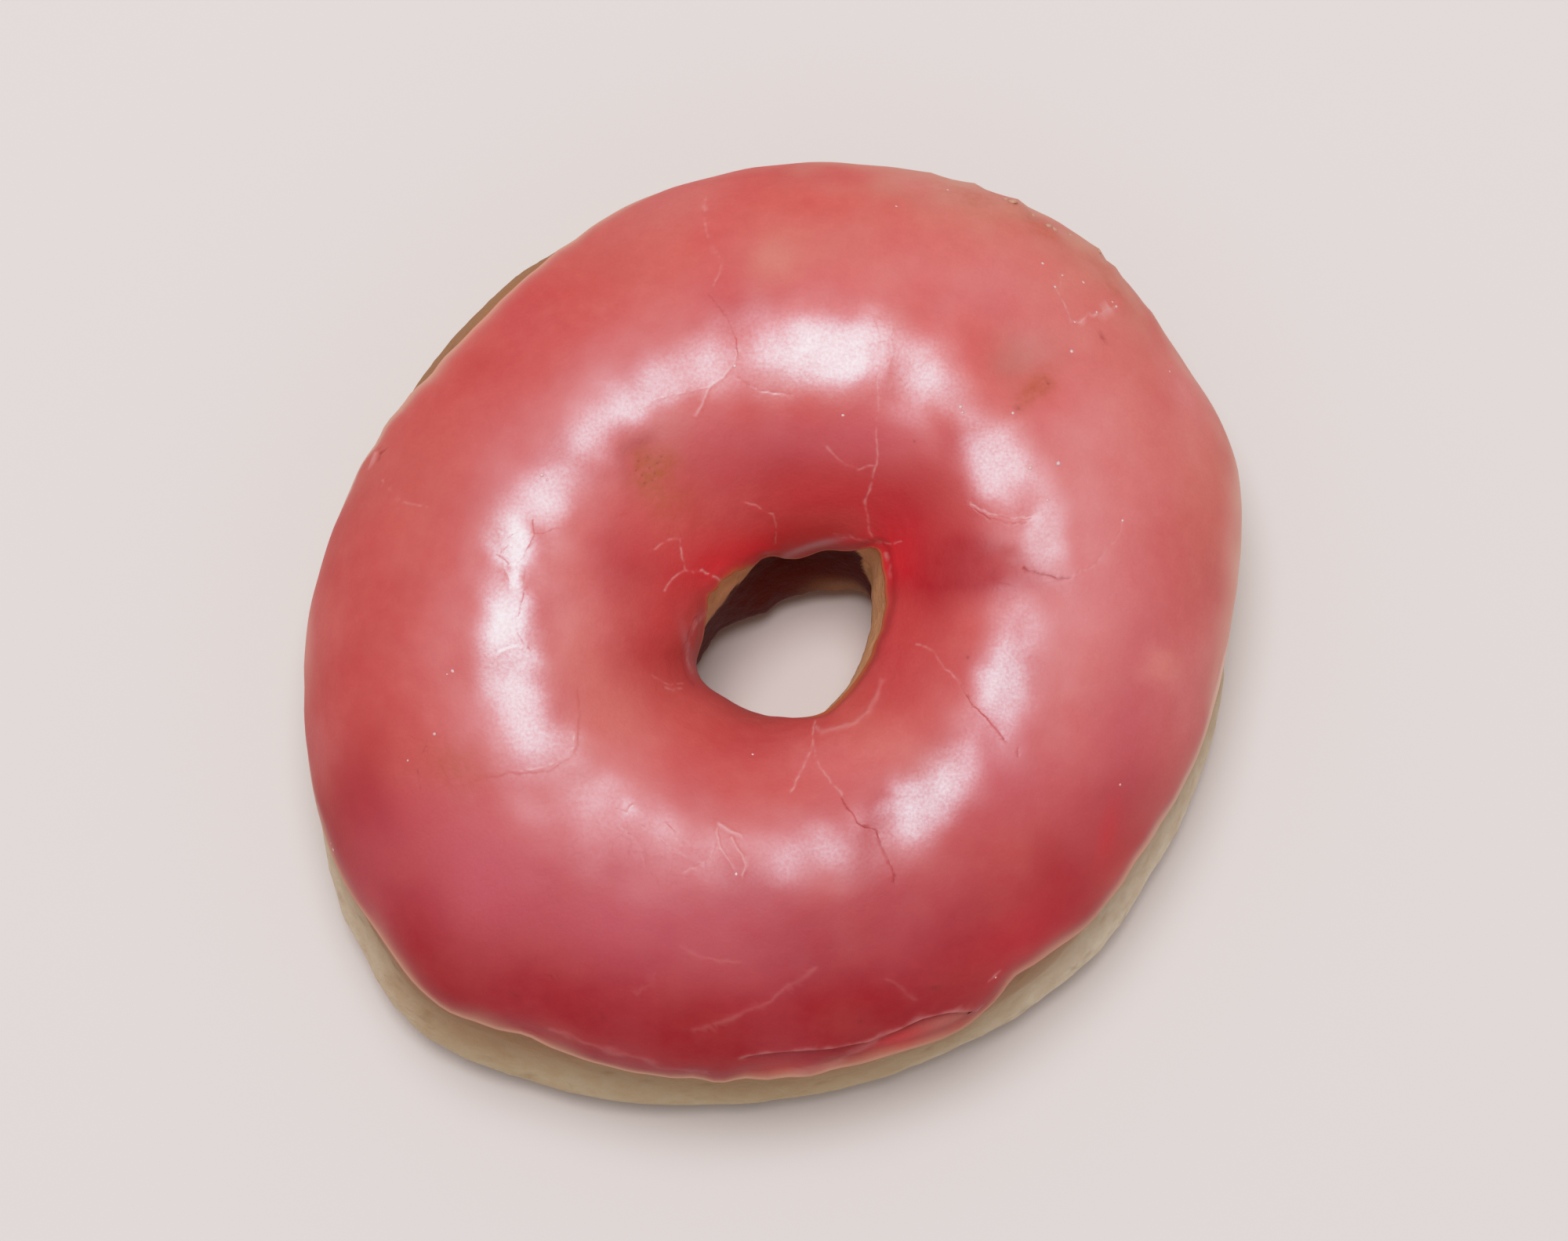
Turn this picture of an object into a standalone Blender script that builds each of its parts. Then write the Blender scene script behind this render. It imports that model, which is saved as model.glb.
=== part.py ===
"""A strawberry iced ring doughnut: the fried dough ring and the shell of icing on its top.

Metres, +Z up. The origin is under the middle of the doughnut, on the surface it lies on.
An angle round the ring is in degrees, anticlockwise from +X as seen from above.
A place on the ring's section is its turn, in degrees: 0 at the waist on the outside, 90 over
the crown, 180 at the waist inside the hole and 270 in the middle of the flat foot.
"""

import math

import bmesh
import bpy
import numpy as np

MM = 0.001

# Heights, in millimetres above the surface the doughnut lies on
CROWN = 29.0  # top of the dough ring, under the icing
WAIST = 12.5  # pale line where the two fried halves meet

# Section of the ring
CROWN_SHARE = 0.54  # crown's radius as a share of the waist's
DOME_FULLNESS = 2.15  # 2 is an ellipse, more is squarer
FOOT_FULLNESS = 3.2  # outside, below the waist
THROAT_FULLNESS = 4.5  # in the hole, below the waist
FLAT_TURN = 24.0  # degrees of the section, each way from the middle of the foot, that lie flat
FLAT_DEPTH = math.cos(math.radians(FLAT_TURN)) ** (2 / FOOT_FULLNESS)
BELLY_DROP = 0.7  # share of the section below the waist over which belly and throat swell out

# The ring's own uneven outline: (degrees round the ring, millimetres)
WAIST_REACH = (
    (0, 43.1), (20, 46.4), (36, 46.4), (50, 47.3), (75, 45.5), (100, 43.4), (125, 42.6),
    (142, 42.1), (162, 42.1), (182, 43.8), (203, 46.1), (214, 47.6), (228, 48.8), (242, 46.0),
    (258, 44.0), (280, 42.6), (305, 42.1), (325, 41.4), (342, 41.9),
)
BELLY_REACH = (
    (0, 2.9), (40, 0.8), (90, 0.6), (140, 1.0), (186, 1.8), (200, 3.0), (212, 4.0), (222, 4.1),
    (232, 4.6), (248, 4.7), (268, 3.6), (284, 3.0), (304, 3.0), (316, 3.9), (330, 3.7), (345, 3.6),
)
HOLE_REACH = (
    (0, 9.4), (20, 10.1), (34, 11.2), (46, 10.7), (66, 9.0), (85, 7.8), (105, 6.3), (120, 5.5),
    (140, 5.2), (158, 5.5), (172, 6.1), (188, 7.3), (202, 9.0), (214, 9.6), (240, 9.4),
    (270, 9.6), (292, 9.5), (306, 9.1), (325, 8.9), (345, 9.0),
)
THROAT_REACH = (  # how far the foot of the hole's wall stands into it
    (0, 0.2), (24, 0.4), (34, 2.4), (44, 4.1), (58, 4.7), (77, 4.8), (95, 4.6), (117, 3.3),
    (140, 2.3), (157, 1.7), (172, 1.15), (188, 1.3), (204, 1.2), (219, 0.3), (250, 0.2), (290, 0.2),
    (330, 0.2),
)

# The icing: how far above the waist it ends outside and in the hole, and how thick it is
ICING_FOOT = (
    (0, 2.8), (25, 0.8), (55, -1.0), (80, 0.6), (100, 3.5), (118, 8.8), (145, 9.2), (165, 3.6),
    (186, 1.6), (202, 2.6), (211, 4.8), (219, 7.0), (228, 6.8), (238, 7.4), (247, 6.0), (256, 5.6),
    (270, 5.2), (284, 5.6), (295, 5.2), (305, 8.5), (315, 6.4), (330, 6.0), (346, 4.2),
)
ICING_LIP = (
    (0, 9.2), (22, 9.0), (36, 7.8), (48, 3.4), (62, 1.6), (82, 1.2), (104, 4.6), (128, 7.4),
    (160, 8.0), (184, 4.6), (210, 0.8), (262, 1.2), (280, 5.0), (297, 8.4), (315, 8.8),
    (335, 9.0),
)
ICING_DEPTH = 1.2
ICING_EDGE_DEPTH = 0.75
EDGE_TAPER = 0.07  # share of the icing's width over which it thins to its edge
EDGE_NOSE = 0.012  # share of the icing's width by which its rounded edge stands out
ICING_GAP = 0.3

# Broad swells and dents in the top: (x, y, spread, lift) in millimetres
SWELLS = (
    (23.0, 25.0, 4.5, -0.8), (3.0, 30.0, 6.0, 0.5), (-20.0, 20.0, 6.0, 0.4),
    (-26.0, -2.0, 5.0, 0.5), (-17.0, -20.0, 6.0, -0.5), (1.0, -27.0, 6.5, 0.5),
    (19.0, -17.0, 5.0, 0.5), (27.0, 2.0, 5.0, -0.5), (14.0, 20.0, 4.0, -0.4),
)

# How finely the solids are cut
STEPS_ROUND = 90
DOUGH_SECTION_POINTS = 30
ICING_TOP_POINTS = 21
ICING_UNDER_POINTS = 13

# The plain ring that is spun first, before each point moves to its real place
PLAIN_RING = 40.0
PLAIN_SECTION = 10.0
PLAIN_SHELL = 1.0


def around(knots, degrees):
    """A smooth closed curve through (degrees, value) knots, read at these degrees."""
    at, value = np.array(knots, float).T
    at = np.concatenate([at[-2:] - 360, at, at[:2] + 360])
    value = np.concatenate([value[-2:], value, value[:2]])
    slope = np.gradient(value, at)
    degrees = np.mod(degrees - at[2], 360) + at[2]
    i = np.searchsorted(at, degrees, side="right") - 1
    span = at[i + 1] - at[i]
    t = (degrees - at[i]) / span
    ease = t * t * (3 - 2 * t)
    start, end = t * (1 - t) ** 2, -t * t * (1 - t)
    bend = span * (slope[i] * start + slope[i + 1] * end)
    return value[i] * (1 - ease) + value[i + 1] * ease + bend


def smooth_step(share):
    share = np.clip(share, 0, 1)
    return share * share * (3 - 2 * share)


def signed_power(number, power):
    return np.sign(number) * np.abs(number) ** power


def dough_skin(degrees, turn):
    """Points of the dough's skin, in millimetres, at these places on the ring."""
    waist = around(WAIST_REACH, degrees)
    hole = around(HOLE_REACH, degrees)
    crown = CROWN_SHARE * waist
    across, up = np.cos(np.radians(turn)), np.sin(np.radians(turn))
    above = up >= 0
    below = np.where(across > 0, FOOT_FULLNESS, THROAT_FULLNESS)
    power = 2 / np.where(above, DOME_FULLNESS, below)
    across, up = signed_power(across, power), signed_power(up, power)
    reach = crown + across * np.where(across > 0, waist - crown, crown - hole)
    swelling = smooth_step(-up / BELLY_DROP)
    reach = reach + around(BELLY_REACH, degrees) * swelling * np.clip(across, 0, 1)
    reach = reach - around(THROAT_REACH, degrees) * swelling * np.clip(-across, 0, 1)
    height = WAIST + np.where(above, up * (CROWN - WAIST), np.maximum(up / FLAT_DEPTH, -1) * WAIST)
    x, y = reach * np.cos(np.radians(degrees)), reach * np.sin(np.radians(degrees))
    for at_x, at_y, spread, lift in SWELLS:
        away = ((x - at_x) ** 2 + (y - at_y) ** 2) / spread**2
        height = height + lift * np.exp(-away) * np.clip(up, 0, 1)
    return np.stack([x, y, height], axis=-1)


def skin_normal(degrees, turn):
    """Unit vectors that point out of the dough there."""
    step = 0.25
    along = dough_skin(degrees + step, turn) - dough_skin(degrees - step, turn)
    over = dough_skin(degrees, turn + step) - dough_skin(degrees, turn - step)
    normal = np.cross(along, over)
    return normal / np.linalg.norm(normal, axis=-1, keepdims=True)


def turn_at_rise(rise):
    """The turn, from the outer waist upwards, at which the skin is this far above the waist."""
    share = np.where(rise > 0, rise / (CROWN - WAIST), -rise / WAIST * FLAT_DEPTH)
    fullness = np.where(rise > 0, DOME_FULLNESS, FOOT_FULLNESS)
    return np.degrees(np.arcsin(share ** (fullness / 2))) * np.sign(rise)


def icing_point(degrees, share, level):
    """Points of the icing.

    share runs from its foot, 0, to its lip in the hole, 1, and level from its underside, 0, to
    its top, 1.
    """
    foot = turn_at_rise(around(ICING_FOOT, degrees))
    lip = 180 - turn_at_rise(around(ICING_LIP, degrees))
    turn = foot + (lip - foot) * share
    inward = smooth_step(np.minimum(share, 1 - share) / EDGE_TAPER)
    depth = ICING_EDGE_DEPTH + (ICING_DEPTH - ICING_EDGE_DEPTH) * inward
    off = ICING_GAP + level * depth
    return dough_skin(degrees, turn) + skin_normal(degrees, turn) * off[..., None]


def icing_place(degrees, turn, level):
    """The icing's place for a plain section that runs over half a turn."""
    return icing_point(degrees, turn / 180, level)


def dough_place(degrees, turn, level):
    """The dough's place, which has one level only."""
    return dough_skin(degrees, turn)


def spun_mesh(name, section, place):
    """A closed ring spun from a section of (turn, level) points.

    Each of its points then moves to place(degrees, turn, level), in millimetres.
    """
    mould = bmesh.new()
    ring = []
    for turn, level in section:
        out = PLAIN_SECTION + PLAIN_SHELL * level
        across, up = out * math.cos(math.radians(turn)), out * math.sin(math.radians(turn))
        ring.append(mould.verts.new((PLAIN_RING + across, 0, up)))
    edges = [mould.edges.new((ring[i - 1], ring[i])) for i in range(len(ring))]
    bmesh.ops.spin(
        mould,
        geom=ring + edges,
        cent=(0, 0, 0),
        axis=(0, 0, 1),
        angle=2 * math.pi,
        steps=STEPS_ROUND,
        use_merge=True,
    )
    bmesh.ops.remove_doubles(mould, verts=mould.verts, dist=1e-4)
    at = np.array([vert.co for vert in mould.verts])
    degrees = np.degrees(np.arctan2(at[:, 1], at[:, 0]))
    across = np.hypot(at[:, 0], at[:, 1]) - PLAIN_RING
    turn = np.mod(np.degrees(np.arctan2(at[:, 2], across)) + 90, 360) - 90
    level = (np.hypot(across, at[:, 2]) - PLAIN_SECTION) / PLAIN_SHELL
    for vert, point in zip(mould.verts, place(degrees, turn, level) * MM):
        vert.co = point
    bmesh.ops.recalc_face_normals(mould, faces=mould.faces)
    mesh = bpy.data.meshes.new(name)
    mould.to_mesh(mesh)
    mould.free()
    mesh.shade_smooth()
    return mesh


def material(name, colour, roughness):
    made = bpy.data.materials.new(name)
    made.use_nodes = True
    shader = made.node_tree.nodes["Principled BSDF"]
    shader.inputs["Base Color"].default_value = (*colour, 1)
    shader.inputs["Roughness"].default_value = roughness
    shader.inputs["Metallic"].default_value = 0
    return made


def add_object(name, mesh, finish, parent):
    mesh.materials.append(finish)
    made = bpy.data.objects.new(name, mesh)
    made.parent = parent
    bpy.context.scene.collection.objects.link(made)
    return made


def dough_mesh():
    """The whole fried ring, with its belly, its pale waist and its flat foot."""
    section = [(turn, 0) for turn in np.linspace(0, 360, DOUGH_SECTION_POINTS, endpoint=False)]
    return spun_mesh("dough", section, dough_place)


def icing_mesh():
    """A thin shell over the top of the ring, with round edges that run unevenly over its sides."""
    shares = [(share, 1.0) for share in np.linspace(0, 1, ICING_TOP_POINTS)]
    shares += [(1 + EDGE_NOSE, 0.5)]
    shares += [(share, 0.0) for share in np.linspace(1, 0, ICING_UNDER_POINTS)]
    shares += [(-EDGE_NOSE, 0.5)]
    section = [(180 * share, level) for share, level in shares]
    return spun_mesh("icing", section, icing_place)


def build():
    for old in list(bpy.data.objects):
        bpy.data.objects.remove(old)
    doughnut = bpy.data.objects.new("doughnut", None)
    bpy.context.scene.collection.objects.link(doughnut)
    crust = material("fried crust", (0.50, 0.27, 0.10), 0.6)
    strawberry = material("strawberry icing", (0.58, 0.085, 0.08), 0.3)
    add_object("dough", dough_mesh(), crust, doughnut)
    add_object("icing", icing_mesh(), strawberry, doughnut)


build()
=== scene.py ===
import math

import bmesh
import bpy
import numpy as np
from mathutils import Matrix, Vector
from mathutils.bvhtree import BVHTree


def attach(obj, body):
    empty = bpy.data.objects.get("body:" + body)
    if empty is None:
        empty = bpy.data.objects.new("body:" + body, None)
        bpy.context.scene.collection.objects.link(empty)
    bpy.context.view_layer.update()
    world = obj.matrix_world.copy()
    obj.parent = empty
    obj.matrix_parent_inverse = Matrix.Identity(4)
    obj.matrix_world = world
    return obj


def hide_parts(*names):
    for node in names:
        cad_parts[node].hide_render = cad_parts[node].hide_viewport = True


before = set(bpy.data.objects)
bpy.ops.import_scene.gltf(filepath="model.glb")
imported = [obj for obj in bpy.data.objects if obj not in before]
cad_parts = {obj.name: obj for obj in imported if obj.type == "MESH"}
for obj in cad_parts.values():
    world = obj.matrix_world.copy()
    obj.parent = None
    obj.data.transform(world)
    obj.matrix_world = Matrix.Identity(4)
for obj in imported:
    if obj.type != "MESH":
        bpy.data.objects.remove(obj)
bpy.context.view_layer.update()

# The looks of a strawberry iced ring doughnut: its fried dough, its icing and the flakes on it.
#
# Lengths are in millimetres until a mesh is finished, and an angle round the ring is in degrees,
# anticlockwise from +X. A place on the ring's section is its turn, in degrees: 0 at the waist on
# the outside, 90 over the crown, 180 at the waist inside the hole and 270 in the flat foot.
# What is placed on the icing is given in the picture's own pixels.

MM = 0.001

# The picture's view
PICTURE = (2000, 1583)
AIM = (1.1, 1.0, 12.5)
DISTANCE = 410.0
LEAN = 8.0  # degrees from straight down, towards -Y
PIXEL = 0.0757  # millimetres to a pixel at the aim
SENSOR = 36.0

# Heights and section of the ring, as its solids have them
CROWN = 29.0
WAIST = 12.5
CROWN_SHARE = 0.54
DOME_FULLNESS = 2.15
FOOT_FULLNESS = 3.2
THROAT_FULLNESS = 4.5
FLAT_TURN = 24.0
FLAT_DEPTH = math.cos(math.radians(FLAT_TURN)) ** (2 / FOOT_FULLNESS)
BELLY_DROP = 0.7

# The ring's uneven outline: (degrees round the ring, millimetres)
WAIST_REACH = (
    (0, 43.1), (20, 46.4), (36, 46.4), (50, 47.3), (75, 45.5), (100, 43.4), (125, 42.6),
    (142, 42.1), (162, 42.1), (182, 43.8), (203, 46.1), (214, 47.6), (228, 48.8), (242, 46.0),
    (258, 44.0), (280, 42.6), (305, 42.1), (325, 41.4), (342, 41.9),
)
BELLY_REACH = (
    (0, 2.9), (40, 0.8), (90, 0.6), (140, 1.0), (186, 1.8), (200, 3.0), (212, 4.0), (222, 4.1),
    (232, 4.6), (248, 4.7), (268, 3.6), (284, 3.0), (304, 3.0), (316, 3.9), (330, 3.7), (345, 3.6),
)
HOLE_REACH = (
    (0, 9.4), (20, 10.1), (34, 11.2), (46, 10.7), (66, 9.0), (85, 7.8), (105, 6.3), (120, 5.5),
    (140, 5.2), (158, 5.5), (172, 6.1), (188, 7.3), (202, 9.0), (214, 9.6), (240, 9.4),
    (270, 9.6), (292, 9.5), (306, 9.1), (325, 8.9), (345, 9.0),
)
THROAT_REACH = (
    (0, 0.2), (24, 0.4), (34, 2.4), (44, 4.1), (58, 4.7), (77, 4.8), (95, 4.6), (117, 3.3),
    (140, 2.3), (157, 1.7), (172, 1.15), (188, 1.3), (204, 1.2), (219, 0.3), (250, 0.2), (290, 0.2),
    (330, 0.2),
)
ICING_FOOT = (
    (0, 2.8), (25, 0.8), (55, -1.0), (80, 0.6), (100, 3.5), (118, 8.8), (145, 9.2), (165, 3.6),
    (186, 1.6), (202, 2.6), (211, 4.8), (219, 7.0), (228, 6.8), (238, 7.4), (247, 6.0), (256, 5.6),
    (270, 5.2), (284, 5.6), (295, 5.2), (305, 8.5), (315, 6.4), (330, 6.0), (346, 4.2),
)
ICING_LIP = (
    (0, 9.2), (22, 9.0), (36, 7.8), (48, 3.4), (62, 1.6), (82, 1.2), (104, 4.6), (128, 7.4),
    (160, 8.0), (184, 4.6), (210, 0.8), (262, 1.2), (280, 5.0), (297, 8.4), (315, 8.8),
    (335, 9.0),
)
ICING_TOP = 1.5  # the icing's top above the dough, where it is full
ICING_EDGE_TOP = 1.05
ICING_SEAT = -0.12  # its underside, just in the dough
EDGE_TAPER = 0.07
EDGE_NOSE = 0.012
ICING_WIDTH = 70.0  # from foot to lip over the crown
SWELLS = (
    (23.0, 25.0, 4.5, -0.8), (3.0, 30.0, 6.0, 0.5), (-20.0, 20.0, 6.0, 0.4),
    (-26.0, -2.0, 5.0, 0.5), (-17.0, -20.0, 6.0, -0.5), (1.0, -27.0, 6.5, 0.5),
    (19.0, -17.0, 5.0, 0.5), (27.0, 2.0, 5.0, -0.5), (14.0, 20.0, 4.0, -0.4),
)

# How far the icing's two edges wander from their smooth lines
FOOT_WAVE = 0.24
LIP_WAVE = 0.12

# How finely the pieces are cut
ICING_STEPS = 270
ICING_TOP_POINTS = 100
ICING_UNDER_POINTS = 8
DOUGH_STEPS = 300
DOUGH_TOP_POINTS = 76
DOUGH_SIDE_POINTS = 30
REFINE_REACH = (0.8, 0.4, 0.16)  # from a crack, one for each time the mesh is cut finer

# How far the skins are sunk in from the solids, and how uneven they are
ICING_SINK = 0.12
ICING_EDGE_SINK = 0.04
ICING_SWELL = 0.07
ICING_DIMPLES = 0.012
DOUGH_SINK = 0.16
DOUGH_SWELL = 0.10
DOUGH_WRINKLES = 0.045
DOUGH_GRAIN = 0.03

# The dough's colours by height
PALE_HEIGHT = 6.0  # middle of the dough's pale belt, which sags below the waist
PALE_WIDTH = 4.5
BELLY_HEIGHT = 4.0  # where the belly stands out furthest
THROAT_SHADE_TOP = (  # below this height the hole's wall is painted dark, as painted shade: (degrees, millimetres)
    (0, -4), (10, -4), (17, 6.0), (20, 9.5), (31, 9.8), (37, 11.0), (40, 13.0), (43, 14.5),
    (47, 15.8), (70, 15.5), (95, 14.6), (108, 13.4), (131, 14.2), (153, 13.4), (172, 13.4),
    (186, 13.2), (198, 14.0), (209, 14.0), (217, 9.0), (225, -4), (330, -4),
)
CREAM_SIDE = (  # where the dough's side is palest
    (0, 0.4), (30, 0.1), (70, 0.0), (120, 0.0), (160, 0.1), (195, 0.9), (215, 0.75), (232, 0.35),
    (250, 0.4), (275, 0.3), (295, 0.6), (315, 1.0), (340, 0.9),
)

# Places round the ring and how far they reach each way, in degrees
LIT_SIDE = (34, 20)  # where painted light lightens the painted shade on the hole's wall
SOFT_BORDER = (15, 6)  # where the upper border of that painted shade is softest
FOOT_LINE = (252, 56)  # where the icing's foot is edged with a pale line

# What a mark says past an edge where its colour stops sharply
SHARP_STOP = -20.0

# The plain ring that is spun first, before each point moves to its real place
PLAIN_RING = 40.0
PLAIN_SECTION = 10.0
PLAIN_SHELL = 1.0

# Cracks and creases in the icing: (look, half width, depth, lip), in millimetres, and then the
# picture points that each runs through. A look above 0 is pale and below 0 is dark.
CRACKS = (
    # north of the hole and over the top
    (-0.28, 0.12, 0.06, 0.04, (903, 372), (917, 390), (930, 411), (940, 431), (940, 450)),
    (0.42, 0.2, -0.06, 0.01, (940, 448), (937, 465), (924, 480), (908, 490), (901, 504), (894, 518),
     (888, 530)),
    (0.5, 0.13, -0.03, 0.01, (904, 494), (888, 498), (861, 503), (835, 509)),
    (0.35, 0.12, 0.06, 0.03, (900, 250), (896, 275), (905, 302), (920, 330), (912, 365)),
    (0.3, 0.12, 0.02, 0.01, (1119, 409), (1126, 440), (1121, 468), (1118, 500), (1119, 530),
     (1117, 560)),
    (0.3, 0.12, -0.02, 0.01, (1136, 415), (1138, 445), (1134, 470)),
    (0.45, 0.14, 0.1, 0.05, (1117, 560), (1119, 591), (1113, 609), (1105, 632), (1104, 650),
     (1104, 667), (1109, 691)),
    (0.3, 0.13, 0.06, 0.03, (1053, 568), (1060, 578), (1072, 587), (1095, 598), (1116, 594)),
    (0.3, 0.13, 0.06, 0.03, (1063, 684), (1085, 686), (1104, 692), (1131, 694), (1150, 690)),
    (0.5, 0.13, 0.08, 0.03, (1128, 706), (1131, 718), (1134, 735)),
    (0.38, 0.14, 0.08, 0.04, (949, 641), (972, 650), (986, 657), (990, 668), (988, 691),
     (980, 708)),
    # above the hole's left
    (0.6, 0.14, 0.1, 0.05, (867, 684), (869, 709), (877, 727), (886, 730), (897, 726), (904, 732),
     (920, 740)),
    (0.45, 0.13, 0.08, 0.03, (848, 753), (851, 745), (858, 737), (876, 727)),
    (0.3, 0.13, 0.06, 0.03, (835, 700), (852, 690), (866, 686)),
    # the dark double line and the blisters on the left
    (-0.14, 0.16, 0.02, 0.02, (738, 880), (738, 930), (736, 953), (727, 966), (714, 975),
     (700, 984), (672, 987), (649, 987), (604, 998), (576, 1004)),
    (0.5, 0.14, -0.03, 0.01, (732, 925), (731, 952), (722, 962), (708, 972), (694, 979),
     (665, 983)),
    (-0.14, 0.12, 0.04, 0.03, (680, 664), (681, 682), (673, 699), (670, 708), (662, 717),
     (648, 719), (634, 708)),
    (-0.16, 0.11, 0.04, 0.03, (642, 721), (650, 736), (659, 749), (664, 752), (669, 744),
     (671, 722)),
    (-0.2, 0.12, 0.04, 0.02, (669, 752), (665, 770), (660, 790), (661, 806), (668, 818),
     (678, 828)),
    (0.3, 0.09, -0.03, 0.01, (636, 676), (648, 684), (660, 680), (668, 690)),
    (0.3, 0.09, -0.03, 0.01, (640, 704), (650, 694), (662, 702)),
    (-0.22, 0.11, 0.06, 0.03, (630, 833), (645, 826), (662, 825)),
    (0.35, 0.12, -0.05, 0.02, (640, 790), (652, 806), (660, 815)),
    (-0.3, 0.12, 0.06, 0.03, (684, 680), (700, 677), (716, 673)),
    # right of the hole
    (0.34, 0.13, 0.06, 0.03, (1168, 820), (1186, 828), (1205, 852), (1224, 871)),
    (-0.6, 0.11, 0.12, 0.04, (1222, 868), (1237, 893), (1261, 919), (1285, 945)),
    (-0.5, 0.1, 0.06, 0.01, (1299, 954), (1299, 964)),
    (-0.6, 0.12, 0.14, 0.05, (1074, 1018), (1095, 1048), (1117, 1061), (1130, 1083), (1138, 1110),
     (1141, 1126)),
    # below the hole
    (0.45, 0.15, 0.08, 0.03, (1039, 917), (1034, 946), (1028, 968), (1017, 992), (1009, 1010)),
    (0.36, 0.14, 0.08, 0.03, (1034, 946), (1040, 966), (1052, 984), (1066, 1005), (1074, 1015)),
    (0.32, 0.32, -0.14, 0.02, (1040, 926), (1047, 933), (1066, 930), (1087, 921), (1106, 907)),
    (0.28, 0.28, -0.1, 0.02, (1106, 907), (1113, 893), (1119, 880), (1124, 866)),
    (0.55, 0.2, -0.12, 0.02, (917, 1050), (934, 1060), (946, 1066)),
    (0.55, 0.2, -0.12, 0.02, (934, 1068), (944, 1086), (950, 1104), (946, 1117)),
    (0.35, 0.16, -0.08, 0.02, (915, 1055), (920, 1080), (936, 1108)),
    (0.3, 0.14, -0.05, 0.02, (787, 1032), (800, 1036), (808, 1024)),
    (0.3, 0.13, 0.06, 0.02, (849, 875), (860, 878), (871, 878)),
    (-0.22, 0.11, 0.05, 0.03, (790, 1052), (806, 1066), (818, 1084), (824, 1104)),
    (-0.2, 0.11, 0.05, 0.03, (820, 1052), (838, 1062), (856, 1080), (872, 1092), (892, 1098)),
    (-0.2, 0.1, 0.04, 0.03, (848, 1050), (862, 1060), (870, 1076)),
    (0.22, 0.1, 0.03, 0.02, (872, 1112), (890, 1104), (905, 1092), (914, 1078)),
    (-0.18, 0.1, 0.04, 0.02, (700, 1126), (708, 1140), (714, 1156), (722, 1168)),
    (0.09, 0.16, -0.03, 0.02, (868, 1208), (890, 1220), (916, 1226), (944, 1230)),
    (0.09, 0.16, -0.03, 0.02, (836, 1240), (828, 1256), (812, 1270)),
    (0.42, 0.32, -0.12, 0.02, (1104, 1331), (1145, 1316), (1178, 1301), (1211, 1293), (1248, 1291)),
    (0.14, 0.26, -0.08, 0.02, (700, 1313), (742, 1330), (800, 1348), (860, 1364), (900, 1370)),
    (0.3, 0.26, -0.06, 0.02, (946, 1350), (1012, 1343), (1062, 1338), (1104, 1331)),
    (0.22, 0.26, -0.06, 0.02, (1010, 1372), (1040, 1368), (1070, 1358), (1100, 1345), (1130, 1328)),
    (-0.4, 0.18, 0.06, 0.02, (1150, 1322), (1180, 1308), (1212, 1300), (1246, 1297)),
    # along the bottom
    (0.13, 0.24, -0.06, 0.04, (885, 1315), (912, 1306), (939, 1297), (984, 1278), (1003, 1259),
     (1041, 1236)),
    (0.1, 0.2, -0.04, 0.03, (1132, 1250), (1150, 1262), (1166, 1278)),
    (0.35, 0.12, 0.04, 0.02, (1262, 1253), (1268, 1247), (1277, 1240)),
    (-0.6, 0.14, 0.12, 0.02, (700, 1245), (705, 1252), (709, 1258)),
    (-0.5, 0.12, 0.1, 0.02, (706, 1245), (711, 1250), (714, 1256)),
    # upper right and right
    (0.55, 0.13, 0.08, 0.06, (1239, 644), (1256, 652), (1269, 656), (1290, 660), (1307, 662),
     (1318, 658)),
    (-0.35, 0.12, 0.08, 0.02, (1242, 650), (1262, 661), (1285, 667), (1308, 668)),
    (-0.75, 0.19, 0.1, 0.04, (1307, 724), (1330, 731), (1351, 737), (1366, 737), (1376, 731)),
    (0.3, 0.12, 0.05, 0.03, (1432, 664), (1424, 690), (1408, 708), (1390, 722), (1376, 731)),
    (0.75, 0.12, 0.05, 0.04, (1345, 364), (1355, 378), (1360, 392), (1371, 408), (1378, 410)),
    (0.75, 0.12, 0.05, 0.04, (1378, 410), (1388, 402), (1399, 398), (1412, 394), (1424, 391)),
    (0.4, 0.12, 0.04, 0.02, (1355, 350), (1353, 364), (1354, 378)),
    (-0.3, 0.11, 0.06, 0.02, (942, 480), (955, 493), (975, 500), (1010, 503)),
    # far left
    (-0.5, 0.12, 0.08, 0.03, (550, 934), (543, 950), (537, 966)),
    (-0.45, 0.12, 0.08, 0.02, (531, 982), (534, 995), (536, 1006)),
    (0.3, 0.12, 0.05, 0.02, (487, 612), (500, 628), (517, 640), (545, 646)),
    (-0.85, 0.2, 0.22, 0.02, (484, 572), (483, 580), (480, 587)),
    (0.45, 0.16, -0.1, 0.02, (478, 578), (473, 588), (470, 596)),
    # the rolled lip at the hole's left
    (-0.3, 0.14, 0.06, 0.02, (897, 778), (884, 797), (874, 820), (871, 842), (876, 858),
     (887, 872)),
    (0.4, 0.14, -0.04, 0.02, (902, 778), (890, 797), (880, 820), (878, 842), (884, 858)),
    (0.3, 0.11, 0.03, 0.02, (834, 860), (845, 868), (858, 872), (872, 872)),
)

# How far the icing's outer edge is thin enough for dough to show through: (degrees, millimetres)
THIN_REACH = (
    (0, 2.8), (25, 4.2), (45, 7.4), (62, 9.0), (78, 7.6), (92, 3.2), (110, 0.9), (140, 1.2),
    (160, 1.6), (180, 1.2), (196, 0.8), (207, 1.1), (225, 1.2), (242, 1.2), (270, 1.2), (300, 1.3),
    (318, 1.5), (340, 2.0),
)
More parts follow.
